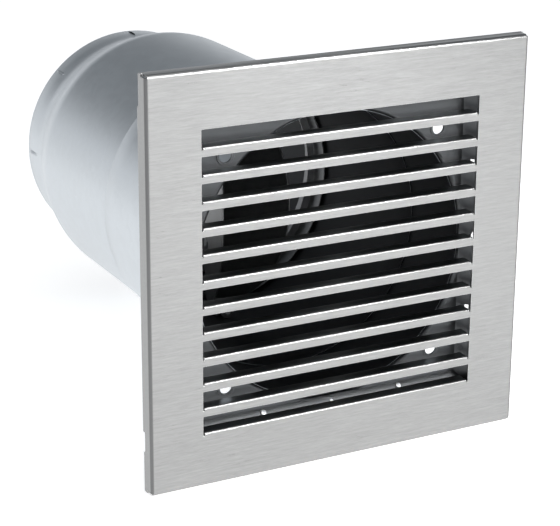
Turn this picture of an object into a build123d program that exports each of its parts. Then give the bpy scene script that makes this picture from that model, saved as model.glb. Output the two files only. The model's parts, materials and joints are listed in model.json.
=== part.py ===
from build123d import *
import math
import os

os.makedirs("parts", exist_ok=True)

# Millimetres. Origin: duct axis in the wall plane. +X right, +Z up, -Y out of the wall to the viewer.

# Cover: one folded sheet with twelve slots, each slot's tab folded inwards from its lower edge
cover_size = 240.0
cover_sheet = 1.2
cover_front = -13.0
cover_bend = 2.0
side_return = 10.4
edge_return = 9.0
top_end_return = 8.8
low_end_return = 9.6
notch_return = 8.0
notch_low = -96.0
notch_high = -84.0
top_end_height = 102.0
slot_count = 12
slot_pitch = 15.04
slot_width = 175.6
slot_height = 9.9
slot_corner = 0.5
tab_side_gap = 1.0
tab_depth = 8.4
tab_bend = 1.08
tab_relief_depth = 1.6
corner_relief = 1.0
corner_slit = 0.3

# Mounting pan: a shallow tray with sloping walls that screws to the wall, with a drawn collar for the duct
pan_floor_half = 85.3
pan_sheet = 1.0
pan_slope = 1.2
pan_bend = 1.8
pan_rim_gap = 0.6
mouth_radius = 88.0
collar_bore = 85.6
collar_sheet = 0.8
collar_length = 8.0
wall_hole_spacing = 136.0
wall_hole_radius = 3.9
wall_hole_rim = 1.4
wall_hole_rim_height = 0.6
side_notch_radius = 6.5
drain_hole_radius = 1.4
drain_hole_y = -3.4
pip_radius = 1.2
pip_lift = 0.6
pip_height = -70.0
pip_y = -3.0

# Spring arms that grip the cover's returns from inside, two riveted to each wall of the pan
arm_spacing = 90.0
arm_width = 9.0
arm_sheet = 0.6
arm_front = -7.5
arm_foot_back = -1.4
arm_end_gap = 0.3
arm_tip = 4.0
rivet_y = -2.75
rivet_radius = 1.3
rivet_head_radius = 2.0
rivet_head_height = 0.9
rivet_head_taper = 30
rivet_tail_radius = 1.6
window_y = -4.9
window_length = 2.4
window_height = 4.6

# Duct: a front sleeve on the pan and a rear tube that telescopes inside it
duct_sheet = 0.6
sleeve_front = 1.4
sleeve_back = 131.0
slide_gap = 0.3
tube_front = 51.0
reducer_front = 230.0
reducer_back = 273.0
reducer_ease = 1.4
spigot_back = 291.0
spigot_radius = 75.2
lance_count = 8
lance_length = 12.0
lance_width = 1.3
lance_lift = 0.3
lance_end_gap = 3.0

# Back-draught damper: two half-round blades on one upright spindle inside the rear tube
spindle_y = 170.0
spindle_radius = 2.0
spindle_length = 162.0
blade_open = 73.0
stop_open = 80.0
blade_radius = 78.5
blade_sheet = 0.8
blade_edge_gap = 3.4
blade_corner_along = 7.0
blade_corner_height = 74.0
blade_window_along = 7.0
blade_windows = ((4.0, 18.0), (-18.5, -5.5))
ring_sheet = 0.8
ring_front = 158.0
ring_back = 184.0
ring_gap = 1.3
seat_width = 5.0
seat_gap = 0.6
gasket_width = 8.0
gasket_inset = 1.0
bush_radius = 5.2
bush_flange_radius = 7.0
bush_flange_height = 1.2
bush_height = 7.8
bush_chamfer = 0.8
running_gap = 0.08
strap_sheet = 0.7
strap_width = 11.0
strap_reach = 16.0
right_strap_heights = (-56.0, 42.0)
left_strap_heights = (-42.0, 56.0)
strap_rivet_reach = 11.5
strap_rivet_radius = 1.2
strap_rivet_head = 2.1
strap_rivet_taper = 25
spring_wire = 0.8
spring_radius = 3.2
spring_pitch = 0.9
spring_turns = 5
spring_low = 8.4
spring_leg_start = 3.8
spring_leg_end = 26.0
contact_gap = 0.02

# Bumper between the open blades: a pin on an angled bracket that stands on the tube's floor, with a rubber ring
bumper_front = 136.0
bumper_length = 7.0
bumper_radius = 5.3
bumper_pin_radius = 2.4
bumper_pin_proud = 0.6
bracket_front = 143.4
bracket_back = 152.0
bracket_sheet = 0.8
bracket_width = 8.0
bracket_top = -75.4

# Opening stop on the spindle
stop_height = -12.0
stop_width = 10.0
stop_reach = 13.0
stop_sheet = 0.6
stop_hub_radius = 3.0

tube_radius = collar_bore - duct_sheet - slide_gap
tube_bore = tube_radius - duct_sheet
pan_floor = -pan_sheet
pan_rim = cover_front + cover_sheet + pan_rim_gap
pan_slant = math.hypot(1, pan_slope)
pan_taper = -math.degrees(math.atan(pan_slope))
pan_back_half = pan_floor_half + pan_sheet * (pan_slant - pan_slope)
pan_rim_half = pan_back_half - pan_slope * pan_rim
slot_top = ((slot_count - 1) * slot_pitch + slot_height) / 2
ring_radius = tube_bore - ring_gap
ring_bore = ring_radius - ring_sheet
flange_top = math.sqrt(ring_bore**2 - bush_flange_radius**2) - running_gap
bush_top = math.sqrt(tube_bore**2 - bush_radius**2) - running_gap


def save(piece, name):
    piece.part.label = name
    export_step(piece.part, "parts/" + name + ".step")


def facing(y):
    """A plane at depth y whose sketch x is the object's +X and sketch y its +Z; it looks out of the wall."""
    return Plane(origin=(0, y, 0), x_dir=(1, 0, 0), z_dir=(0, -1, 0))


def blade_plane(side, opening=blade_open):
    """Along one blade at its opening: x runs from the hinge to the blade's rim, z out of its back face."""
    angle = math.radians(opening)
    along = (side * math.cos(angle), -math.sin(angle), 0)
    out = (side * math.sin(angle), math.cos(angle), 0)
    return Plane(origin=(0, spindle_y, 0), x_dir=along, z_dir=out)


def side_plane(turn, along=0):
    """One of the four sides: sketch x points out from the duct axis, sketch y is the object's +Y."""
    angle = math.radians(90 * turn)
    out = Vector(math.cos(angle), 0, -math.sin(angle))
    up = Vector(math.sin(angle), 0, math.cos(angle))
    return Plane(origin=up * along, x_dir=out, z_dir=up)


def wall_plane(turn, along, y):
    """On the inner face of a sloping pan wall; z points into the tray, square to the wall."""
    side = side_plane(turn)
    reach = pan_floor_half + pan_slope * (pan_floor - y)
    place = side.x_dir * reach + Vector(0, y, 0) + side.z_dir * along
    inward = (side.x_dir + Vector(0, pan_slope, 0)) * -1
    return Plane(origin=place, x_dir=side.z_dir, z_dir=inward)


def tube_shell(inner, outer, front, back):
    """A plain round tube along the duct axis."""
    with BuildPart() as tube:
        with BuildSketch(facing(back)):
            Circle(outer)
            Circle(inner, mode=Mode.SUBTRACT)
        extrude(amount=back - front)
    return tube


# Cover plate
inner_size = cover_size - 2 * cover_sheet
with BuildPart() as cover_plate:
    with BuildSketch(facing(cover_front + side_return)):
        Rectangle(cover_size, cover_size)
    extrude(amount=side_return)
    front_edges = cover_plate.faces().sort_by(Axis.Y)[0].edges()
    fillet(front_edges, radius=cover_bend)
    with BuildSketch(facing(cover_front + side_return)):
        Rectangle(inner_size, inner_size)
    extrude(amount=side_return - cover_sheet, mode=Mode.SUBTRACT)
    for height in (cover_size / 2, -cover_size / 2):
        with Locations((0, cover_front + (side_return + edge_return) / 2, height)):
            Box(inner_size, side_return - edge_return, 4 * cover_sheet, mode=Mode.SUBTRACT)
    for end_return, low, high in (
        (top_end_return, top_end_height, cover_size / 2),
        (notch_return, notch_low, notch_high),
        (low_end_return, -cover_size / 2, notch_low),
    ):
        with Locations((0, cover_front + (side_return + end_return) / 2, (low + high) / 2)):
            Box(2 * cover_size, side_return - end_return, high - low, mode=Mode.SUBTRACT)
    # bend reliefs where two returns meet, with a slit down each corner
    with BuildSketch(facing(cover_front + side_return)):
        with GridLocations(inner_size, inner_size, 2, 2):
            Rectangle(corner_slit, 4 * cover_sheet)
    extrude(amount=side_return - cover_bend, mode=Mode.SUBTRACT)
    with BuildSketch(facing(cover_front + cover_bend)):
        with GridLocations(cover_size - cover_sheet, cover_size - cover_sheet, 2, 2):
            Circle(corner_relief)
    extrude(amount=2 * cover_bend, both=True, mode=Mode.SUBTRACT)
    # slots, then the tab of each
    with BuildSketch(facing(cover_front + cover_sheet)):
        with GridLocations(0, slot_pitch, 1, slot_count):
            RectangleRounded(slot_width, slot_height, slot_corner)
    extrude(amount=2 * cover_sheet, mode=Mode.SUBTRACT)
    for i in range(slot_count):
        slot_bottom = slot_top - i * slot_pitch - slot_height
        tab_width = slot_width - 2 * tab_side_gap
        with Locations((0, cover_front + tab_depth / 2, slot_bottom - cover_sheet / 2)):
            Box(tab_width, tab_depth, cover_sheet)
        with Locations(
            (slot_width / 2 - tab_side_gap / 2, cover_front, slot_bottom),
            (-slot_width / 2 + tab_side_gap / 2, cover_front, slot_bottom),
        ):
            Box(tab_side_gap, 4 * cover_sheet, 2 * tab_relief_depth, mode=Mode.SUBTRACT)
    bend_edges = (
        cover_plate.edges()
        .filter_by(Axis.X)
        .filter_by_position(Axis.Y, cover_front - 0.01, cover_front + 0.01)
        .filter_by(lambda edge: abs(edge.length - tab_width) < 0.1)
    )
    fillet(bend_edges, radius=tab_bend)
save(cover_plate, "cover_plate")

# Mounting pan
with BuildPart() as mounting_pan:
    with BuildSketch(facing(0)):
        Rectangle(2 * pan_back_half, 2 * pan_back_half)
    extrude(amount=-pan_rim, taper=pan_taper)
    fillet(mounting_pan.faces().sort_by(Axis.Y)[-1].edges(), radius=pan_bend)
    with BuildPart(mode=Mode.PRIVATE) as hollow:
        with BuildSketch(facing(pan_floor)):
            Rectangle(2 * pan_floor_half, 2 * pan_floor_half)
        extrude(amount=cover_size / 10, taper=pan_taper)
        fillet(hollow.faces().sort_by(Axis.Y)[-1].edges(), radius=pan_bend - pan_sheet)
    add(hollow.part, mode=Mode.SUBTRACT)
    # drawn collar, its bore, and the rounded mouth, which the tray's floor bounds
    with BuildSketch(facing(collar_length)):
        Circle(collar_bore + collar_sheet)
    extrude(amount=collar_length)
    with BuildSketch(facing(collar_length)):
        Circle(collar_bore)
    extrude(amount=collar_length + pan_sheet, mode=Mode.SUBTRACT)
    flare = mouth_radius - collar_bore
    lip_chord = flare * (1 - math.sqrt(0.5))
    lip_middle = (collar_bore + lip_chord, pan_floor + lip_chord)
    with BuildPart(mode=Mode.PRIVATE) as mouth:
        with BuildSketch(Plane.XY):
            with BuildLine():
                Polyline(
                    (mouth_radius, pan_floor),
                    (0, pan_floor),
                    (0, pan_floor + flare),
                    (collar_bore, pan_floor + flare),
                )
                ThreePointArc((collar_bore, pan_floor + flare), lip_middle, (mouth_radius, pan_floor))
            make_face()
        revolve(axis=Axis.Y)
        with Locations((0, pan_floor, 0)):
            Box(2 * pan_floor_half, 4 * flare, 2 * pan_floor_half, mode=Mode.INTERSECT)
    add(mouth.part, mode=Mode.SUBTRACT)
    # wall screw holes with a low pressed rim
    with BuildSketch(facing(pan_floor)):
        with GridLocations(wall_hole_spacing, wall_hole_spacing, 2, 2):
            Circle(wall_hole_radius + wall_hole_rim)
    extrude(amount=wall_hole_rim_height)
    with BuildSketch(facing(0)):
        with GridLocations(wall_hole_spacing, wall_hole_spacing, 2, 2):
            Circle(wall_hole_radius)
    extrude(amount=4 * pan_sheet, mode=Mode.SUBTRACT)
    # a half-round notch in the rim left and right, a pip below it, and a drain hole at the bottom
    for turn in (0, 2):
        with BuildSketch(Plane.YZ):
            with Locations((pan_rim, 0)):
                Circle(side_notch_radius)
        extrude(amount=(1 - turn) * cover_size, mode=Mode.SUBTRACT)
        with BuildSketch(wall_plane(turn, (1 - turn) * pip_height, pip_y)):
            Circle(pip_radius)
        extrude(amount=pip_lift)
    with BuildSketch(wall_plane(1, 0, drain_hole_y)):
        Circle(drain_hole_radius)
    extrude(amount=2 * pan_sheet, both=True, mode=Mode.SUBTRACT)
    # windows and rivet holes for the spring arms
    for turn in range(4):
        for across in (-arm_spacing / 2, arm_spacing / 2):
            with BuildSketch(wall_plane(turn, across, window_y)):
                Rectangle(window_height, window_length)
            extrude(amount=2 * pan_sheet, both=True, mode=Mode.SUBTRACT)
            with BuildSketch(wall_plane(turn, across, rivet_y)):
                Circle(rivet_radius)
            extrude(amount=2 * pan_sheet, both=True, mode=Mode.SUBTRACT)
save(mounting_pan, "mounting_pan")

# Spring arms: a foot on the pan's wall, an arm across to the cover, a tip along the cover's return
arm_end = cover_size / 2 - cover_sheet - arm_end_gap
foot_outer_half = pan_back_half + arm_sheet * pan_slant
with BuildPart() as cover_springs:
    for turn in range(4):
        for across in (-arm_spacing / 2, arm_spacing / 2):
            with BuildSketch(side_plane(turn, across)):
                with BuildLine():
                    Polyline(
                        (pan_back_half - pan_slope * arm_foot_back, arm_foot_back),
                        (pan_back_half - pan_slope * arm_front, arm_front),
                        (arm_end, arm_front),
                        (arm_end, arm_front + arm_tip),
                        (arm_end - arm_sheet, arm_front + arm_tip),
                        (arm_end - arm_sheet, arm_front + arm_sheet),
                        (foot_outer_half - pan_slope * (arm_front + arm_sheet), arm_front + arm_sheet),
                        (foot_outer_half - pan_slope * arm_foot_back, arm_foot_back),
                        (pan_back_half - pan_slope * arm_foot_back, arm_foot_back),
                    )
                make_face()
            extrude(amount=arm_width / 2, both=True)
            with BuildSketch(wall_plane(turn, across, rivet_y)):
                Circle(rivet_radius)
            extrude(amount=-3 * pan_sheet, mode=Mode.SUBTRACT)
            with BuildSketch(wall_plane(turn, across, window_y)):
                Rectangle(window_height, window_length)
            extrude(amount=-3 * pan_sheet, mode=Mode.SUBTRACT)
save(cover_springs, "cover_springs")

# Rivets through the pan's walls and the arms' feet, domed heads inside the tray
rivet_grip = pan_sheet + arm_sheet
with BuildPart() as arm_rivets:
    for turn in range(4):
        for across in (-arm_spacing / 2, arm_spacing / 2):
            face = wall_plane(turn, across, rivet_y)
            with BuildSketch(face):
                Circle(rivet_head_radius)
            extrude(amount=rivet_head_height, taper=rivet_head_taper)
            with BuildSketch(face):
                Circle(rivet_radius)
            extrude(amount=-rivet_grip)
            with BuildSketch(face.offset(-rivet_grip)):
                Circle(rivet_tail_radius)
            extrude(amount=-rivet_head_height / 2)
save(arm_rivets, "arm_rivets")

# Duct sleeve fixed in the pan's collar
front_sleeve = tube_shell(collar_bore - duct_sheet, collar_bore, sleeve_front, sleeve_back)
save(front_sleeve, "front_sleeve")

# Rear tube: slides in the sleeve, drops to the spigot, which has pressed lances that hold a duct


def tube_wall(inset):
    """The outer profile of the rear tube, moved inwards by inset, as a closed face down to the axis."""
    big = tube_radius - inset
    small = spigot_radius - inset
    with BuildSketch() as section:
        with BuildLine():
            Polyline(
                (big, reducer_front),
                (big, tube_front),
                (0, tube_front),
                (0, spigot_back),
                (small, spigot_back),
                (small, reducer_back),
            )
            Spline(
                (small, reducer_back),
                (big, reducer_front),
                tangents=((0, -1), (0, -1)),
                tangent_scalars=(reducer_ease, reducer_ease),
            )
        make_face()
    return section.sketch


outer_wall = tube_wall(0)
inner_wall = tube_wall(duct_sheet)
lance_centre = spigot_back - lance_end_gap - lance_length / 2
with BuildPart() as rear_tube:
    with BuildSketch():
        add(outer_wall)
    revolve(axis=Axis.Y)
    with BuildSketch():
        add(inner_wall)
    revolve(axis=Axis.Y, mode=Mode.SUBTRACT)
    with BuildSketch(facing(lance_centre + lance_length / 2)):
        with PolarLocations(spigot_radius - duct_sheet / 2, lance_count):
            Rectangle(duct_sheet + 2 * lance_lift, lance_width)
    extrude(amount=lance_length)
save(rear_tube, "rear_tube")

# Damper ring: a band inside the rear tube with a seat lip behind the blades
with BuildPart() as damper_ring:
    with BuildSketch(facing(ring_back)):
        Circle(ring_radius)
        Circle(ring_bore, mode=Mode.SUBTRACT)
    extrude(amount=ring_back - ring_front)
    with BuildSketch(facing(spindle_y + blade_sheet / 2 + seat_gap + ring_sheet)):
        Circle(ring_radius)
        Circle(ring_bore - seat_width, mode=Mode.SUBTRACT)
    extrude(amount=ring_sheet)
    with BuildSketch(Plane.XY):
        with Locations((0, spindle_y)):
            Circle(bush_radius)
    extrude(amount=cover_size, both=True, mode=Mode.SUBTRACT)
    with BuildSketch(Plane.XY):
        with Locations((0, spindle_y)):
            Circle(bush_flange_radius + running_gap)
    extrude(amount=flange_top, both=True, mode=Mode.SUBTRACT)
save(damper_ring, "damper_ring")

# Rubber gasket between the ring and the rear tube
ring_gasket = tube_shell(ring_radius, tube_bore, ring_back - gasket_width, ring_back - gasket_inset)
save(ring_gasket, "ring_gasket")

# Spindle, and a plastic bush for each of its ends
spindle_axis = Plane.XY.offset(-spindle_length / 2)
with BuildPart() as damper_spindle:
    with BuildSketch(spindle_axis):
        with Locations((0, spindle_y)):
            Circle(spindle_radius)
    extrude(amount=spindle_length)
save(damper_spindle, "damper_spindle")

for end, name in ((1, "upper_bush"), (-1, "lower_bush")):
    upward = Plane(origin=(0, spindle_y, 0), x_dir=(1, 0, 0), z_dir=(0, 0, end))
    with BuildPart() as bush:
        with BuildSketch(upward.offset(bush_top - bush_height)):
            Circle(bush_radius)
        extrude(amount=bush_height)
        with BuildSketch(upward.offset(flange_top - bush_flange_height)):
            Circle(bush_flange_radius)
        extrude(amount=bush_flange_height)
        inner_face = bush.faces().sort_by(Axis.Z)[0 if end > 0 else -1]
        chamfer(inner_face.edges(), length=bush_chamfer)
        with BuildSketch(upward):
            Circle(spindle_radius)
        extrude(amount=spindle_length / 2, mode=Mode.SUBTRACT)
    save(bush, name)

# Blades, hinge straps, strap rivets and spring legs, one set for each side
for side, name, strap_heights, leg_turn in (
    (1, "right", right_strap_heights, 0),
    (-1, "left", left_strap_heights, spring_turns),
):
    plane = blade_plane(side)
    up = -side  # sketch y on a blade's plane runs down on the right and up on the left
    strap_places = [(strap_rivet_reach, up * height) for height in strap_heights]
    with BuildPart() as blade:
        with BuildSketch(plane.offset(-blade_sheet / 2)):
            Circle(blade_radius)
            with Locations((-blade_radius + blade_edge_gap, 0)):
                Rectangle(2 * blade_radius, 2 * blade_radius, mode=Mode.SUBTRACT)
            with Locations((0, blade_radius), (0, -blade_radius)):
                corner_cut = 2 * (blade_radius - blade_corner_height)
                Rectangle(2 * blade_corner_along, corner_cut, mode=Mode.SUBTRACT)
            for low, high in blade_windows:
                with Locations((0, up * (low + high) / 2)):
                    Rectangle(2 * blade_window_along, high - low, mode=Mode.SUBTRACT)
            with Locations(*strap_places):
                Circle(strap_rivet_radius, mode=Mode.SUBTRACT)
        extrude(amount=blade_sheet)
    save(blade, name + "_blade")

    with BuildPart() as straps:
        for height in strap_heights:
            eye_base = (0, spindle_y, height - strap_width / 2)
            eye = Plane(origin=eye_base, x_dir=plane.x_dir, z_dir=(0, 0, 1))
            back = side * blade_sheet / 2
            with BuildSketch(eye):
                Circle(spindle_radius + running_gap + strap_sheet)
                with Locations(((spindle_radius + strap_reach) / 2, back + side * strap_sheet / 2)):
                    Rectangle(strap_reach - spindle_radius, strap_sheet)
                Circle(spindle_radius + running_gap, mode=Mode.SUBTRACT)
            extrude(amount=strap_width)
        with BuildSketch(plane):
            with Locations(*strap_places):
                Circle(strap_rivet_radius)
        extrude(amount=2 * blade_sheet, mode=Mode.SUBTRACT)
    save(straps, name + "_hinge_straps")

    with BuildPart() as strap_rivets:
        grip = blade_sheet + strap_sheet
        with BuildSketch(plane.offset(-blade_sheet / 2)):
            with Locations(*strap_places):
                Circle(strap_rivet_radius)
        extrude(amount=grip)
        with BuildSketch(plane.offset(-blade_sheet / 2)):
            with Locations(*strap_places):
                Circle(strap_rivet_head)
        extrude(amount=-strap_sheet, taper=strap_rivet_taper)
        with BuildSketch(plane.offset(grip - blade_sheet / 2)):
            with Locations(*strap_places):
                Circle(strap_rivet_head)
        extrude(amount=strap_sheet, taper=strap_rivet_taper)
    save(strap_rivets, name + "_strap_rivets")

    leg_side = -(blade_sheet + spring_wire) / 2 - contact_gap
    leg_height = spring_low + leg_turn * spring_pitch
    leg_plane = Plane(origin=plane.origin, x_dir=plane.y_dir, z_dir=plane.x_dir)
    with BuildPart() as spring_leg:
        with BuildSketch(leg_plane.offset(spring_leg_start)):
            with Locations((up * leg_height, leg_side)):
                Circle(spring_wire / 2)
        extrude(amount=spring_leg_end - spring_leg_start)
    save(spring_leg, name + "_spring_leg")

# Coil of the closing spring round the spindle
with BuildPart() as closing_spring:
    with BuildLine():
        Helix(spring_pitch, spring_turns * spring_pitch, spring_radius, center=(0, spindle_y, spring_low))
    coil_start = (spring_radius, spindle_y, spring_low)
    with BuildSketch(Plane(origin=coil_start, x_dir=(1, 0, 0), z_dir=(0, 1, 0))):
        Circle(spring_wire / 2)
    sweep(is_frenet=True)
save(closing_spring, "closing_spring")

# Opening stop: a hub on the spindle with a wing that meets the front of each blade when it is full open
with BuildPart() as opening_stop:
    hub_bottom = Plane(origin=(0, spindle_y, stop_height - stop_width / 2), x_dir=(1, 0, 0), z_dir=(0, 0, 1))
    with BuildSketch(hub_bottom):
        Circle(stop_hub_radius)
    extrude(amount=stop_width)
    for side in (1, -1):
        wing_face = blade_plane(side, stop_open).offset(-blade_sheet / 2 - contact_gap)
        with BuildSketch(wing_face):
            with Locations((stop_reach / 2, -side * stop_height)):
                Rectangle(stop_reach, stop_width)
        extrude(amount=-stop_sheet)
    with BuildSketch(hub_bottom):
        Circle(spindle_radius)
    extrude(amount=stop_width, mode=Mode.SUBTRACT)
save(opening_stop, "opening_stop")

# Bumper: bracket, pin and rubber ring
bumper_height = -(tube_bore - bumper_radius - running_gap)
with BuildPart() as bumper_bracket:
    for top, front, back in (
        (bracket_top, bracket_front, bracket_front + bracket_sheet),
        (bracket_sheet - tube_bore, bracket_front, bracket_back),
    ):
        with BuildSketch(facing(back)):
            with Locations((0, (top - tube_bore) / 2)):
                Rectangle(bracket_width, top + tube_bore)
            Circle(tube_bore, mode=Mode.INTERSECT)
        extrude(amount=back - front)
    with BuildSketch(facing(bracket_back)):
        with Locations((0, bumper_height)):
            Circle(bumper_pin_radius)
    extrude(amount=bracket_back, mode=Mode.SUBTRACT)
save(bumper_bracket, "bumper_bracket")

with BuildPart() as bumper_pin:
    with BuildSketch(facing(bracket_front + bracket_sheet)):
        with Locations((0, bumper_height)):
            Circle(bumper_pin_radius)
    extrude(amount=bracket_front + bracket_sheet - bumper_front + bumper_pin_proud)
save(bumper_pin, "bumper_pin")

with BuildPart() as bumper_ring:
    with BuildSketch(facing(bumper_front + bumper_length)):
        with Locations((0, bumper_height)):
            Circle(bumper_radius)
            Circle(bumper_pin_radius, mode=Mode.SUBTRACT)
    extrude(amount=bumper_length)
    fillet(bumper_ring.faces().sort_by(Axis.Y)[0].edges(), radius=bush_chamfer)
save(bumper_ring, "bumper_ring")
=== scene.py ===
import json
import math

import bpy
import numpy as np
from mathutils import Matrix, Vector


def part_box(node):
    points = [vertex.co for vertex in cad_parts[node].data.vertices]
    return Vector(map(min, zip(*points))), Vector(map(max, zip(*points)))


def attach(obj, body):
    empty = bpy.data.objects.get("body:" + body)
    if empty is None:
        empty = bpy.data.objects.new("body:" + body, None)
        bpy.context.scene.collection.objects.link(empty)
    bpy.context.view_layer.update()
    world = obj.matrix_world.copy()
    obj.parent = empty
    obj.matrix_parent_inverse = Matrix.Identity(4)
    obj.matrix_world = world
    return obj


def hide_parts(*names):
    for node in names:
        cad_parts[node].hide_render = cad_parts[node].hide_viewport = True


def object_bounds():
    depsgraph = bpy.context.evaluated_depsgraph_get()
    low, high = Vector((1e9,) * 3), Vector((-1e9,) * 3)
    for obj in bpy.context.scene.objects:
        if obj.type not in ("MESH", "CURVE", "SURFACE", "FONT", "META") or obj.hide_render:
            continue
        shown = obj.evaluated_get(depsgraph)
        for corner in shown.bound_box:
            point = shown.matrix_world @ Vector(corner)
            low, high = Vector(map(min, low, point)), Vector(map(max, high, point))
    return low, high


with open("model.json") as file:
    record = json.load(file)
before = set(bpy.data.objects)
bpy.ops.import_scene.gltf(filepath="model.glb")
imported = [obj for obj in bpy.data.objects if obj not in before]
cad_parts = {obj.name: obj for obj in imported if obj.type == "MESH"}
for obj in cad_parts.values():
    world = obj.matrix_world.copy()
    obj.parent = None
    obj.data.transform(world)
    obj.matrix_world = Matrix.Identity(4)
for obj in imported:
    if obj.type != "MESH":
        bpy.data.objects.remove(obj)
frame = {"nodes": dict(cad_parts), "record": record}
nodes = frame["nodes"]
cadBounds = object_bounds()
print("frame loaded:", len(nodes), "nodes")

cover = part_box("cover_plate")
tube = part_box("rear_tube")


def gridFaces(rows, columns, wrapRows=False, wrapColumns=False):
    # quads between neighbouring rows and columns of a grid, numbered row by row, wrapped round where asked
    r = np.arange(rows if wrapRows else rows - 1)
    c = np.arange(columns if wrapColumns else columns - 1)
    r, c = np.meshgrid(r, c, indexing="ij")
    nextR = (r + 1) % rows
    nextC = (c + 1) % columns
    quads = np.stack([r * columns + c, nextR * columns + c, nextR * columns + nextC, r * columns + nextC],
                     axis=-1)
    return quads.reshape(-1, 4)


def newPiece(name, points, faces, body, material, slotName):
    # a mesh object at the origin from an n by 3 array of points and an m by 4 array of faces
    mesh = bpy.data.meshes.new(name)
    mesh.from_pydata(points.reshape(-1, 3).tolist(), [], faces.tolist())
    mesh.validate()
    mesh.materials.append(material)
    mesh.shade_smooth()
    piece = bpy.data.objects.new(name, mesh)
    bpy.context.scene.collection.objects.link(piece)
    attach(piece, body)
    return piece


def joinGrids(parts):
    # several (points, faces) pairs as one, the faces renumbered
    points = np.concatenate([p.reshape(-1, 3) for p, f in parts])
    starts = np.cumsum([0] + [len(p.reshape(-1, 3)) for p, f in parts[:-1]])
    faces = np.concatenate([f + s for (p, f), s in zip(parts, starts)])
    return points, faces


def node(tree, kind, inputs=None, **settings):
    made = tree.nodes.new("ShaderNode" + kind)
    for name, value in settings.items():
        setattr(made, name, value)
    for key, value in (inputs or {}).items():
        if isinstance(value, bpy.types.NodeSocket):
            tree.links.new(value, made.inputs[key])
        else:
            made.inputs[key].default_value = value
    return made


def newGroup(name, inputs, outputs):
    group = bpy.data.node_groups.new(name, "ShaderNodeTree")
    for label, kind, value in inputs:
        socket = group.interface.new_socket(label, in_out="INPUT", socket_type="NodeSocket" + kind)
        if value is not None:
            socket.default_value = value
    for label, kind in outputs:
        group.interface.new_socket(label, in_out="OUTPUT", socket_type="NodeSocket" + kind)
    return group, group.nodes.new("NodeGroupInput").outputs, group.nodes.new("NodeGroupOutput").inputs


def useGroup(tree, group, inputs):
    made = tree.nodes.new("ShaderNodeGroup")
    made.node_tree = group
    for key, value in inputs.items():
        if isinstance(value, bpy.types.NodeSocket):
            tree.links.new(value, made.inputs[key])
        else:
            made.inputs[key].default_value = value
    return made.outputs


def brushGrainGroup():
    # fine parallel scratches: two layers of noise squeezed across the brushing and drawn out along it
    group, given, out = newGroup("brushGrain", [
        ("Vector", "Vector", None), ("Across", "Float", 900.0), ("Along", "Float", 12.0),
    ], [("Shade", "Float"), ("Height", "Float")])
    axes = node(group, "SeparateXYZ", {0: given["Vector"]}).outputs
    along = node(group, "Math", {0: axes["X"], 1: given["Along"]}, operation="MULTIPLY").outputs[0]
    across = node(group, "Math", {0: axes["Z"], 1: given["Across"]}, operation="MULTIPLY").outputs[0]
    depth = node(group, "Math", {0: axes["Y"], 1: given["Across"]}, operation="MULTIPLY").outputs[0]
    place = node(group, "CombineXYZ", {"X": along, "Y": depth, "Z": across}).outputs[0]
    fine = node(group, "TexNoise", {"Vector": place, "Scale": 1.0, "Detail": 3.0,
                                    "Roughness": 0.6}).outputs["Fac"]
    wide = node(group, "TexNoise", {"Vector": place, "Scale": 0.22, "Detail": 1.0}).outputs["Fac"]
    both = node(group, "Mix", {"Factor": 0.35, 2: fine, 3: wide}).outputs[0]
    shade = node(group, "MapRange", {"Value": both, "From Min": 0.3, "From Max": 0.7}).outputs[0]
    group.links.new(shade, out["Shade"])
    group.links.new(fine, out["Height"])
    return group


def sheetWavesGroup():
    # the slow, shallow unevenness of flat sheet, so that its reflections aren't mirror straight
    group, given, out = newGroup("sheetWaves", [("Vector", "Vector", None), ("Scale", "Float", 14.0)],
                                 [("Height", "Float")])
    waves = node(group, "TexNoise", {"Vector": given["Vector"], "Scale": given["Scale"],
                                     "Detail": 1.0}).outputs["Fac"]
    group.links.new(waves, out["Height"])
    return group


def spangleGroup():
    # zinc crystals: cells of their own shade with wandering borders, and a fine frost inside each
    group, given, out = newGroup("spangle", [("Vector", "Vector", None), ("Scale", "Float", 120.0)],
                                 [("Shade", "Float"), ("Height", "Float")])
    warp = node(group, "TexNoise", {"Vector": given["Vector"], "Scale": 90.0, "Detail": 2.0}).outputs["Color"]
    pushed = node(group, "VectorMath", {0: warp, "Scale": 0.006}, operation="SCALE").outputs[0]
    place = node(group, "VectorMath", {0: given["Vector"], 1: pushed}, operation="ADD").outputs[0]
    cells = node(group, "TexVoronoi", {"Vector": place, "Scale": given["Scale"]},
                 feature="F1").outputs["Color"]
    tone = node(group, "SeparateColor", {0: cells}).outputs[0]
    frost = node(group, "TexNoise", {"Vector": given["Vector"], "Scale": 900.0, "Detail": 3.0}).outputs["Fac"]
    cloud = node(group, "TexNoise", {"Vector": given["Vector"], "Scale": 11.0, "Detail": 3.0}).outputs["Fac"]
    first = node(group, "Mix", {"Factor": 0.35, 2: tone, 3: cloud}).outputs[0]
    shade = node(group, "Mix", {"Factor": 0.2, 2: first, 3: frost}).outputs[0]
    group.links.new(shade, out["Shade"])
    group.links.new(frost, out["Height"])
    return group


def edgeHighlightGroup():
    # where the surface turns sharply, found by how far a bevelled normal leans away from the true one; the
    # mask marks where a bright painted highlight goes along sharp edges
    group, given, out = newGroup("edgeHighlight", [("Radius", "Float", 0.0006), ("Amount", "Float", 1.0)],
                                 [("Mask", "Float"), ("Normal", "Vector")])
    soft = node(group, "Bevel", {"Radius": given["Radius"]}, samples=4).outputs[0]
    true = node(group, "NewGeometry").outputs["Normal"]
    lean = node(group, "VectorMath", {0: soft, 1: true}, operation="DOT_PRODUCT").outputs["Value"]
    turned = node(group, "MapRange", {"Value": lean, "From Min": 0.97, "From Max": 0.75}).outputs[0]
    mask = node(group, "Math", {0: turned, 1: given["Amount"]}, operation="MULTIPLY",
                use_clamp=True).outputs[0]
    group.links.new(mask, out["Mask"])
    group.links.new(soft, out["Normal"])
    return group


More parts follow.
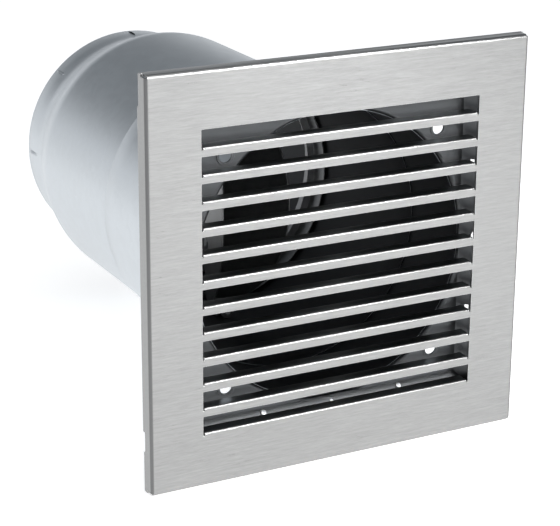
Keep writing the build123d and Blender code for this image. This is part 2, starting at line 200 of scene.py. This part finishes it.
def smudgeGroup():
    # hand marks and light dust: soft clouds broken up by finer noise
    group, given, out = newGroup("smudge", [("Vector", "Vector", None), ("Scale", "Float", 18.0),
                                            ("Amount", "Float", 0.5)], [("Mask", "Float")])
    cloud = node(group, "TexNoise", {"Vector": given["Vector"], "Scale": given["Scale"], "Detail": 5.0,
                                     "Roughness": 0.65, "Distortion": 0.4}).outputs["Fac"]
    shaped = node(group, "MapRange", {"Value": cloud, "From Min": 0.42, "From Max": 0.72}).outputs[0]
    mask = node(group, "Math", {0: shaped, 1: given["Amount"]}, operation="MULTIPLY",
                use_clamp=True).outputs[0]
    group.links.new(mask, out["Mask"])
    return group


def insideGroup():
    # the inner face of anything round the duct axis: its normal points towards the axis, not away from it;
    # the duct's inside is painted dark there as shade
    group, given, out = newGroup("inside", [("Vector", "Vector", None), ("Normal", "Vector", None)],
                                 [("Mask", "Float")])
    outward = node(group, "VectorMath", {0: given["Vector"], 1: (1.0, 0.0, 1.0)},
                   operation="MULTIPLY").outputs[0]
    facing = node(group, "VectorMath", {0: outward, 1: given["Normal"]},
                  operation="DOT_PRODUCT").outputs["Value"]
    mask = node(group, "MapRange", {"Value": facing, "From Min": 0.004, "From Max": -0.004}).outputs[0]
    group.links.new(mask, out["Mask"])
    return group


def grilleShadeGroup():
    # the inner side of a louvred cover, painted dark as shade: points behind the front sheet and well inside
    # its outer edge
    group, given, out = newGroup("grilleShade", [("Vector", "Vector", None)], [("Mask", "Float")])
    axes = node(group, "SeparateXYZ", {0: given["Vector"]}).outputs
    behind = node(group, "MapRange", {"Value": axes["Y"], "From Min": grilleShadeSpan["startsAt"],
                                      "From Max": grilleShadeSpan["fullAt"]}).outputs[0]
    reach = [node(group, "Math", {0: axes[k]}, operation="ABSOLUTE").outputs[0] for k in ("X", "Z")]
    widest = node(group, "Math", {0: reach[0], 1: reach[1]}, operation="MAXIMUM").outputs[0]
    within = node(group, "Math", {0: widest, 1: grilleShadeSpan["reach"]}, operation="LESS_THAN").outputs[0]
    mask = node(group, "Math", {0: behind, 1: within}, operation="MULTIPLY").outputs[0]
    group.links.new(mask, out["Mask"])
    return group


def sideBendShadeGroup():
    # the rounded fold between the front and the left or right side, strongest near the front face, where a
    # dark line is painted in as a reflection
    group, given, out = newGroup("sideBendShade", [("Normal", "Vector", None)], [("Mask", "Float")])
    axes = node(group, "SeparateXYZ", {0: given["Normal"]}).outputs
    turn = node(group, "Math", {0: axes["X"], 1: axes["Y"]}, operation="MULTIPLY").outputs[0]
    size = node(group, "Math", {0: turn}, operation="ABSOLUTE").outputs[0]
    mask = node(group, "MapRange", {"Value": size, "From Min": 0.12, "From Max": 0.34}).outputs[0]
    group.links.new(mask, out["Mask"])
    return group


# where the painted shade on the cover's inner side begins, becomes full, and how far out it reaches
grilleShadeSpan = {"startsAt": cover[0].y + 0.0009, "fullAt": cover[0].y + 0.0022, "reach": cover[1].x * 0.8}
brushGrain = brushGrainGroup()
sheetWaves = sheetWavesGroup()
spangle = spangleGroup()
edgeHighlight = edgeHighlightGroup()
smudge = smudgeGroup()
inside = insideGroup()
grilleShade = grilleShadeGroup()
sideBendShade = sideBendShadeGroup()
print("node groups ready")


def startMaterial(name):
    material = bpy.data.materials.new(name)
    material.use_nodes = True
    tree = material.node_tree
    shader = next(n for n in tree.nodes if n.type == "BSDF_PRINCIPLED")
    place = tree.nodes.new("ShaderNodeTexCoord").outputs["Object"]
    return material, tree, shader, place


def mixColour(tree, factor, first, second):
    made = tree.nodes.new("ShaderNodeMix")
    made.data_type = "RGBA"
    for key, value in ((0, factor), (6, first), (7, second)):
        if isinstance(value, bpy.types.NodeSocket):
            tree.links.new(value, made.inputs[key])
        else:
            made.inputs[key].default_value = value if key == 0 else (*value, 1.0)
    return made.outputs[2]


def sheetMetal(name, look):
    # bare sheet metal: a grain or crystal pattern for tone and roughness, smudges and a painted highlight
    # along sharp edges
    material, tree, shader, place = startMaterial(name)
    if look["pattern"] == "brushed":
        grain = useGroup(tree, brushGrain, {"Vector": place, "Across": look["across"],
                                            "Along": look["along"]})
    else:
        grain = useGroup(tree, spangle, {"Vector": place, "Scale": look["crystals"]})
    marks = useGroup(tree, smudge, {"Vector": place, "Scale": look["smudgeScale"], "Amount": look["smudges"]})
    litEdge = useGroup(tree, edgeHighlight, {"Radius": look["edgeRadius"], "Amount": look["edgeAmount"]})
    tone = mixColour(tree, grain["Shade"], look["dark"], look["light"])
    smeared = mixColour(tree, marks["Mask"], tone, look["smear"])
    # painted highlight: sharp edges mixed towards the bright edge colour
    edged = mixColour(tree, litEdge["Mask"], smeared, look["edge"])
    rough = node(tree, "MapRange", {"Value": grain["Shade"], "To Min": look["roughLow"],
                                    "To Max": look["roughHigh"]}).outputs[0]
    rougher = node(tree, "Math", {0: marks["Mask"], 1: 0.12, 2: rough}, operation="MULTIPLY_ADD").outputs[0]
    # painted shade: the duct's inner face mixed to a dark tone
    if "insideShade" in look:
        normal = tree.nodes.new("ShaderNodeTexCoord").outputs["Normal"]
        within = useGroup(tree, inside, {"Vector": place, "Normal": normal})["Mask"]
        edged = mixColour(tree, within, edged, look["insideShade"])
        rougher = node(tree, "Mix", {"Factor": within, 2: rougher, 3: look["insideShadeRough"]}).outputs[0]
    if "grilleShade" in look:
        normal = tree.nodes.new("ShaderNodeTexCoord").outputs["Normal"]
        # painted reflection: a dark line along the side bends
        bendShadeMask = useGroup(tree, sideBendShade, {"Normal": normal})["Mask"]
        edged = mixColour(tree, bendShadeMask, edged, look["foldShade"])
        # painted shade: the cover's inner side mixed to a dark tone
        behind = useGroup(tree, grilleShade, {"Vector": place})["Mask"]
        edged = mixColour(tree, behind, edged, look["grilleShade"])
    tree.links.new(edged, shader.inputs["Base Color"])
    tree.links.new(rougher, shader.inputs["Roughness"])
    waves = useGroup(tree, sheetWaves, {"Vector": place, "Scale": look["waveScale"]})
    slow = node(tree, "Bump", {"Strength": look["waveBump"], "Distance": 0.002, "Height": waves["Height"],
                               "Normal": litEdge["Normal"]}).outputs[0]
    fine = node(tree, "Bump", {"Strength": look["grainBump"], "Distance": 0.0001, "Height": grain["Height"],
                               "Normal": slow}).outputs[0]
    tree.links.new(fine, shader.inputs["Normal"])
    shader.inputs["Metallic"].default_value = 1.0
    shader.inputs["Anisotropic"].default_value = look.get("anisotropic", 0.0)
    shader.inputs["Anisotropic Rotation"].default_value = look.get("turn", 0.0)
    return material


# the edge colour of each look is a painted highlight along sharp edges
coverLook = {
    "pattern": "brushed", "across": 3200.0, "along": 170.0,
    "dark": (0.28, 0.28, 0.277), "light": (0.37, 0.37, 0.366), "smear": (0.315, 0.315, 0.312),
    "edge": (0.92, 0.92, 0.92), "roughLow": 0.26, "roughHigh": 0.38,
    "smudgeScale": 14.0, "smudges": 0.25, "edgeRadius": 0.0005, "edgeAmount": 0.8,
    "waveScale": 9.0, "waveBump": 0.05, "grainBump": 0.25, "anisotropic": 0.65, "turn": 0.25,
    # painted shade for the cover's inner side, and a painted dark reflection line for the side bends
    "grilleShade": (0.22, 0.225, 0.23), "foldShade": (0.16, 0.16, 0.16),
}
trayLook = {
    "pattern": "brushed", "across": 300.0, "along": 25.0,
    "dark": (0.095, 0.099, 0.103), "light": (0.135, 0.139, 0.143), "smear": (0.103, 0.107, 0.111),
    "edge": (0.4, 0.41, 0.42), "roughLow": 0.38, "roughHigh": 0.5,
    "smudgeScale": 22.0, "smudges": 0.3, "edgeRadius": 0.0004, "edgeAmount": 0.6,
    "waveScale": 16.0, "waveBump": 0.08, "grainBump": 0.2,
}
ductLook = {
    "pattern": "spangle", "crystals": 210.0,
    "dark": (0.56, 0.59, 0.615), "light": (0.63, 0.662, 0.688), "smear": (0.57, 0.6, 0.62),
    "edge": (0.85, 0.88, 0.9), "roughLow": 0.30, "roughHigh": 0.42,
    "smudgeScale": 12.0, "smudges": 0.15, "edgeRadius": 0.0003, "edgeAmount": 0.5,
    "waveScale": 5.0, "waveBump": 0.03, "grainBump": 0.12,
    # painted shade colour for the duct's inner face
    "insideShade": (0.065, 0.068, 0.072), "insideShadeRough": 0.68,
}
bladeLook = {
    "pattern": "brushed", "across": 500.0, "along": 9.0,
    "dark": (0.22, 0.225, 0.23), "light": (0.29, 0.295, 0.30), "smear": (0.23, 0.235, 0.24),
    "edge": (0.8, 0.8, 0.8), "roughLow": 0.40, "roughHigh": 0.52,
    "smudgeScale": 25.0, "smudges": 0.3, "edgeRadius": 0.0003, "edgeAmount": 0.9,
    "waveScale": 10.0, "waveBump": 0.12, "grainBump": 0.12,
}
springLook = {
    "pattern": "brushed", "across": 1500.0, "along": 60.0,
    "dark": (0.42, 0.43, 0.45), "light": (0.56, 0.57, 0.58), "smear": (0.45, 0.45, 0.45),
    "edge": (0.8, 0.8, 0.8), "roughLow": 0.24, "roughHigh": 0.36,
    "smudgeScale": 30.0, "smudges": 0.3, "edgeRadius": 0.0002, "edgeAmount": 0.6,
    "waveScale": 30.0, "waveBump": 0.05, "grainBump": 0.2,
}
rivetLook = {
    "pattern": "spangle", "crystals": 900.0,
    "dark": (0.50, 0.51, 0.53), "light": (0.64, 0.65, 0.66), "smear": (0.45, 0.45, 0.45),
    "edge": (0.85, 0.85, 0.85), "roughLow": 0.25, "roughHigh": 0.4,
    "smudgeScale": 90.0, "smudges": 0.4, "edgeRadius": 0.0002, "edgeAmount": 0.5,
    "waveScale": 60.0, "waveBump": 0.05, "grainBump": 0.2,
}
steelBar = dict(springLook, dark=(0.60, 0.60, 0.61), light=(0.74, 0.74, 0.75), along=2400.0, across=90.0,
                roughLow=0.16, roughHigh=0.28)

brushedSteel = sheetMetal("brushedSteel", coverLook)
traySteel = sheetMetal("traySteel", trayLook)
galvanisedSheet = sheetMetal("galvanisedSheet", ductLook)
bladeSheet = sheetMetal("bladeSheet", bladeLook)
springSteel = sheetMetal("springSteel", springLook)
rivetMetal = sheetMetal("rivetMetal", rivetLook)
spindleSteel = sheetMetal("spindleSteel", steelBar)


def softSurface(name, look):
    # moulded plastic or rubber: two close tones in clouds, a faint pebble, a paler painted highlight along
    # sharp edges
    material, tree, shader, place = startMaterial(name)
    marks = useGroup(tree, smudge, {"Vector": place, "Scale": look["clouds"], "Amount": 1.0})
    litEdge = useGroup(tree, edgeHighlight, {"Radius": 0.0003, "Amount": 0.6})
    tone = mixColour(tree, marks["Mask"], look["dark"], look["light"])
    # painted highlight: sharp edges mixed towards the paler edge colour
    edged = mixColour(tree, litEdge["Mask"], tone, look["edge"])
    tree.links.new(edged, shader.inputs["Base Color"])
    rough = node(tree, "MapRange", {"Value": marks["Mask"], "To Min": look["roughLow"],
                                    "To Max": look["roughHigh"]}).outputs[0]
    tree.links.new(rough, shader.inputs["Roughness"])
    pebble = node(tree, "TexNoise", {"Vector": place, "Scale": look["pebble"], "Detail": 2.0}).outputs["Fac"]
    bump = node(tree, "Bump", {"Strength": 0.3, "Distance": 0.00005, "Height": pebble,
                               "Normal": litEdge["Normal"]}).outputs[0]
    tree.links.new(bump, shader.inputs["Normal"])
    return material


bushPlastic = softSurface("bushPlastic", {
    "dark": (0.07, 0.07, 0.07), "light": (0.10, 0.10, 0.10), "edge": (0.16, 0.16, 0.16),
    "clouds": 240.0, "roughLow": 0.35, "roughHigh": 0.5, "pebble": 1800.0,
})
gasketRubber = softSurface("gasketRubber", {
    "dark": (0.018, 0.018, 0.019), "light": (0.035, 0.035, 0.037), "edge": (0.06, 0.06, 0.06),
    "clouds": 160.0, "roughLow": 0.6, "roughHigh": 0.8, "pebble": 1400.0,
})

finishes = {
    "brushed_steel_cover": brushedSteel, "folded_steel_tray": traySteel, "galvanised_duct": galvanisedSheet,
    "spring_steel": springSteel, "rivet_metal": rivetMetal, "damper_sheet": bladeSheet,
    "spindle_steel": spindleSteel, "bush_plastic": bushPlastic, "gasket_rubber": gasketRubber,
}
for entry in frame["record"]["subparts"]:
    mesh = nodes[entry["node"]].data
    mesh.materials.clear()
    mesh.materials.append(finishes[entry["material_slot"]])
print("finishes on", len(nodes), "nodes")


millimetre = 0.001
ductFacts = {
    "sheet": 0.6, "reducerStart": 230.0, "reducerEnd": 273.0, "spigotRadius": 75.2, "edgeRound": 0.28,
    "lances": 8, "lanceLength": 12.0, "lanceWidth": 1.7, "lanceLift": 1.0, "lanceSheet": 0.35,
    "lanceEndGap": 3.0, "lanceRows": 25, "lanceRunOut": 0.98,
    "aroundSteps": 256, "bodyRows": 12, "slopeRows": 25, "spigotStep": 5.0, "sleeveRows": 10,
}


def easedStep(n, first, last):
    # a smooth S from first to last: the cosine ease (1 - cos(pi t)) / 2 on n even steps of t
    t = np.linspace(0, 1, n)
    return first + (last - first) * (1 - np.cos(math.pi * t)) / 2


def sheetSection(radii, depths, sheet, edge):
    # a closed (radius, depth) outline of sheet metal: the outer line, then that line moved in by the sheet,
    # with each end rounded by a half turn of radius sheet / 2
    turn = np.linspace(0, math.pi, 7)[1:-1]
    half = sheet / 2
    outer = np.stack([radii, depths], axis=1)
    inner = np.stack([radii - sheet, depths], axis=1)[::-1]
    backEnd = np.stack([radii[-1] - half + half * np.cos(turn), depths[-1] + edge * np.sin(turn)], axis=1)
    frontEnd = np.stack([radii[0] - half - half * np.cos(turn), depths[0] - edge * np.sin(turn)], axis=1)
    return np.concatenate([outer, backEnd, inner, frontEnd])


def closedRing(section, steps):
    # the closed section carried once round the duct axis: x = radius * cos t, z = radius * sin t, y = depth
    t = np.linspace(0, 2 * math.pi, steps, endpoint=False)[None, :]
    radius, depth = section[:, 0][:, None], section[:, 1][:, None]
    points = np.stack([radius * np.cos(t), depth + 0 * t, radius * np.sin(t)], axis=-1)
    return points * millimetre, gridFaces(len(section), steps, wrapRows=True, wrapColumns=True)


def lance(angle, centreY):
    # a pressed louvre: a thin closed strip that ramps up across v to a raised, open edge, its rise scaled by
    # (1 - u^2)^0.5 along the duct so that both ends run into the sheet
    rows = ductFacts["lanceRows"]
    u = np.linspace(-1, 1, rows)[:, None]
    width, lift, thick = ductFacts["lanceWidth"], ductFacts["lanceLift"], ductFacts["lanceSheet"]
    v = np.array([-1.0, -0.4, 0.3, 1.0, 1.0, 0.3, -0.4, -1.0])[None, :]
    under = np.array([0, 0, 0, 0, 1, 1, 1, 1])[None, :]
    rise = lift * np.sqrt(1 - (ductFacts["lanceRunOut"] * u) ** 2) * (v + 1) / 2
    radius = ductFacts["spigotRadius"] + rise - under * thick
    turn = angle + v * width / 2 / ductFacts["spigotRadius"] + 0 * u
    depth = centreY + u * ductFacts["lanceLength"] / 2 + 0 * v
    points = np.stack([radius * np.cos(turn), depth, radius * np.sin(turn)], axis=-1) * millimetre
    # each end of the strip is shut with three quads across its eight-sided section
    endCap = np.array([[0, 1, 6, 7], [1, 2, 5, 6], [2, 3, 4, 5]])
    corners = v.shape[1]
    strip = gridFaces(rows, corners, wrapColumns=True)
    faces = np.concatenate([strip, endCap, endCap[:, ::-1] + (rows - 1) * corners])
    return points, faces


def makeRearTube():
    # straight body, eased reducer and narrower spigot as one carried section, with the louvres spaced evenly
    front, back = tube[0].y / millimetre, tube[1].y / millimetre
    big, small = tube[1].x / millimetre, ductFacts["spigotRadius"]
    edge, rows = ductFacts["edgeRound"], ductFacts["slopeRows"]
    slope = np.linspace(ductFacts["reducerStart"], ductFacts["reducerEnd"], rows)
    body = np.linspace(front + edge, slope[0], ductFacts["bodyRows"])[:-1]
    depths = np.concatenate([body, slope, [slope[-1] + ductFacts["spigotStep"], back - edge]])
    radii = np.concatenate([np.full(len(body), big), easedStep(rows, big, small), [small, small]])
    section = sheetSection(radii, depths, ductFacts["sheet"], edge)
    parts = [closedRing(section, ductFacts["aroundSteps"])]
    centreY = back - ductFacts["lanceEndGap"] - ductFacts["lanceLength"] / 2
    for i in range(ductFacts["lances"]):
        parts.append(lance(2 * math.pi * i / ductFacts["lances"], centreY))
    piece = newPiece("rear_duct_tube", *joinGrids(parts), "rear_duct", galvanisedSheet, "galvanised_duct")
    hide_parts("rear_tube")


def makeFrontSleeve():
    # the plain sleeve as one carried section
    low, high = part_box("front_sleeve")
    edge, rows = ductFacts["edgeRound"], ductFacts["sleeveRows"]
    depths = np.linspace(low.y / millimetre + edge, high.y / millimetre - edge, rows)
    radii = np.full(rows, high.x / millimetre)
    section = sheetSection(radii, depths, ductFacts["sheet"], edge)
    ring = closedRing(section, ductFacts["aroundSteps"])
    piece = newPiece("front_duct_sleeve", *ring, "housing", galvanisedSheet, "galvanised_duct")
    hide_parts("front_sleeve")


makeRearTube()
makeFrontSleeve()
print("duct surfaces made")


stageLook = {
    "floorColour": (0.93, 0.93, 0.93), "floorGlow": 0.62, "floorReach": 12.0, "floorGap": 0.0003,
    "paleSky": (0.95, 0.97, 1.0), "dimSky": (0.22, 0.235, 0.25), "paleBelow": 0.06, "dimAbove": 0.36,
}
lights = {
    "overhead": {"place": (-0.3, -0.9, 2.2), "aim": (0, 0, 0), "size": (2.4, 2.0), "watts": 22.0},
    "frontStrip": {"place": (0.45, -0.8, 0.6), "aim": (0, 0, 0.08), "size": (0.22, 0.4), "watts": 9.0},
    "frontLeft": {"place": (-1.9, -1.6, 1.4), "aim": (0, 0, 0), "size": (1.2, 1.2), "watts": 4.0},
}


def makeFloor():
    reach = stageLook["floorReach"]
    low = cadBounds[0][2] - stageLook["floorGap"]
    corners = np.array([[-reach, -reach, low], [reach, -reach, low],
                        [reach, reach, low], [-reach, reach, low]])
    mesh = bpy.data.meshes.new("floor")
    mesh.from_pydata(corners.tolist(), [], [[0, 1, 2, 3]])
    floor = bpy.data.objects.new("floor", mesh)
    bpy.context.scene.collection.objects.link(floor)
    material, tree, shader, place = startMaterial("paleFloor")
    cloud = node(tree, "TexNoise", {"Vector": place, "Scale": 3.0, "Detail": 2.0}).outputs["Fac"]
    pale = stageLook["floorColour"]
    tone = mixColour(tree, cloud, pale, tuple(min(1.0, c * 1.03) for c in pale))
    tree.links.new(tone, shader.inputs["Base Color"])
    shader.inputs["Roughness"].default_value = 0.9
    shader.inputs["Specular IOR Level"].default_value = 0.1
    shader.inputs["Emission Color"].default_value = (1.0, 1.0, 1.0, 1.0)
    shader.inputs["Emission Strength"].default_value = stageLook["floorGlow"]
    mesh.materials.append(material)


def makeLights():
    for name, facts in lights.items():
        lamp = bpy.data.lights.new(name, "AREA")
        lamp.shape = "RECTANGLE"
        lamp.size, lamp.size_y = facts["size"]
        lamp.energy = facts["watts"]
        holder = bpy.data.objects.new(name, lamp)
        away = Vector(facts["place"]) - Vector(facts["aim"])
        turn = away.to_track_quat("Z", "Y").to_matrix().to_4x4()
        holder.matrix_world = Matrix.Translation(facts["place"]) @ turn
        holder.visible_camera = False
        bpy.context.scene.collection.objects.link(holder)
    world = bpy.data.worlds.new("studio")
    world.use_nodes = True
    sky = world.node_tree
    heading = sky.nodes.new("ShaderNodeTexCoord").outputs["Generated"]
    height = node(sky, "SeparateXYZ", {0: heading}).outputs["Z"]
    low, high = stageLook["paleBelow"], stageLook["dimAbove"]
    fade = node(sky, "MapRange", {"Value": height, "From Min": low, "From Max": high},
                interpolation_type="SMOOTHSTEP").outputs[0]
    tone = mixColour(sky, fade, stageLook["paleSky"], stageLook["dimSky"])
    sky.links.new(tone, sky.nodes["Background"].inputs["Color"])
    bpy.context.scene.world = world


cameraFacts = {
    "place": (-0.49578, -0.87962, 0.34247), "azimuth": -27.73, "elevation": 18.97, "roll": 0.4257,
    "lens": 120.03, "sensor": 36.0,
}


def makeCamera():
    azimuth, elevation, roll = (math.radians(cameraFacts[k]) for k in ("azimuth", "elevation", "roll"))
    back = Vector((math.sin(azimuth) * math.cos(elevation), -math.cos(azimuth) * math.cos(elevation),
                   math.sin(elevation)))
    right = (-back).cross(Vector((0, 0, 1))).normalized()
    up = back.cross(right)
    across = right * math.cos(roll) + up * math.sin(roll)
    upward = -right * math.sin(roll) + up * math.cos(roll)
    turn = Matrix((across, upward, back)).transposed().to_4x4()
    lens = bpy.data.cameras.new("view")
    lens.sensor_fit = "HORIZONTAL"
    lens.sensor_width = cameraFacts["sensor"]
    lens.lens = cameraFacts["lens"]
    camera = bpy.data.objects.new("view", lens)
    camera.matrix_world = Matrix.Translation(cameraFacts["place"]) @ turn
    bpy.context.scene.collection.objects.link(camera)
    bpy.context.scene.camera = camera


makeFloor()
makeLights()
makeCamera()
bpy.context.scene.view_settings.view_transform = "Standard"
print("stage ready")
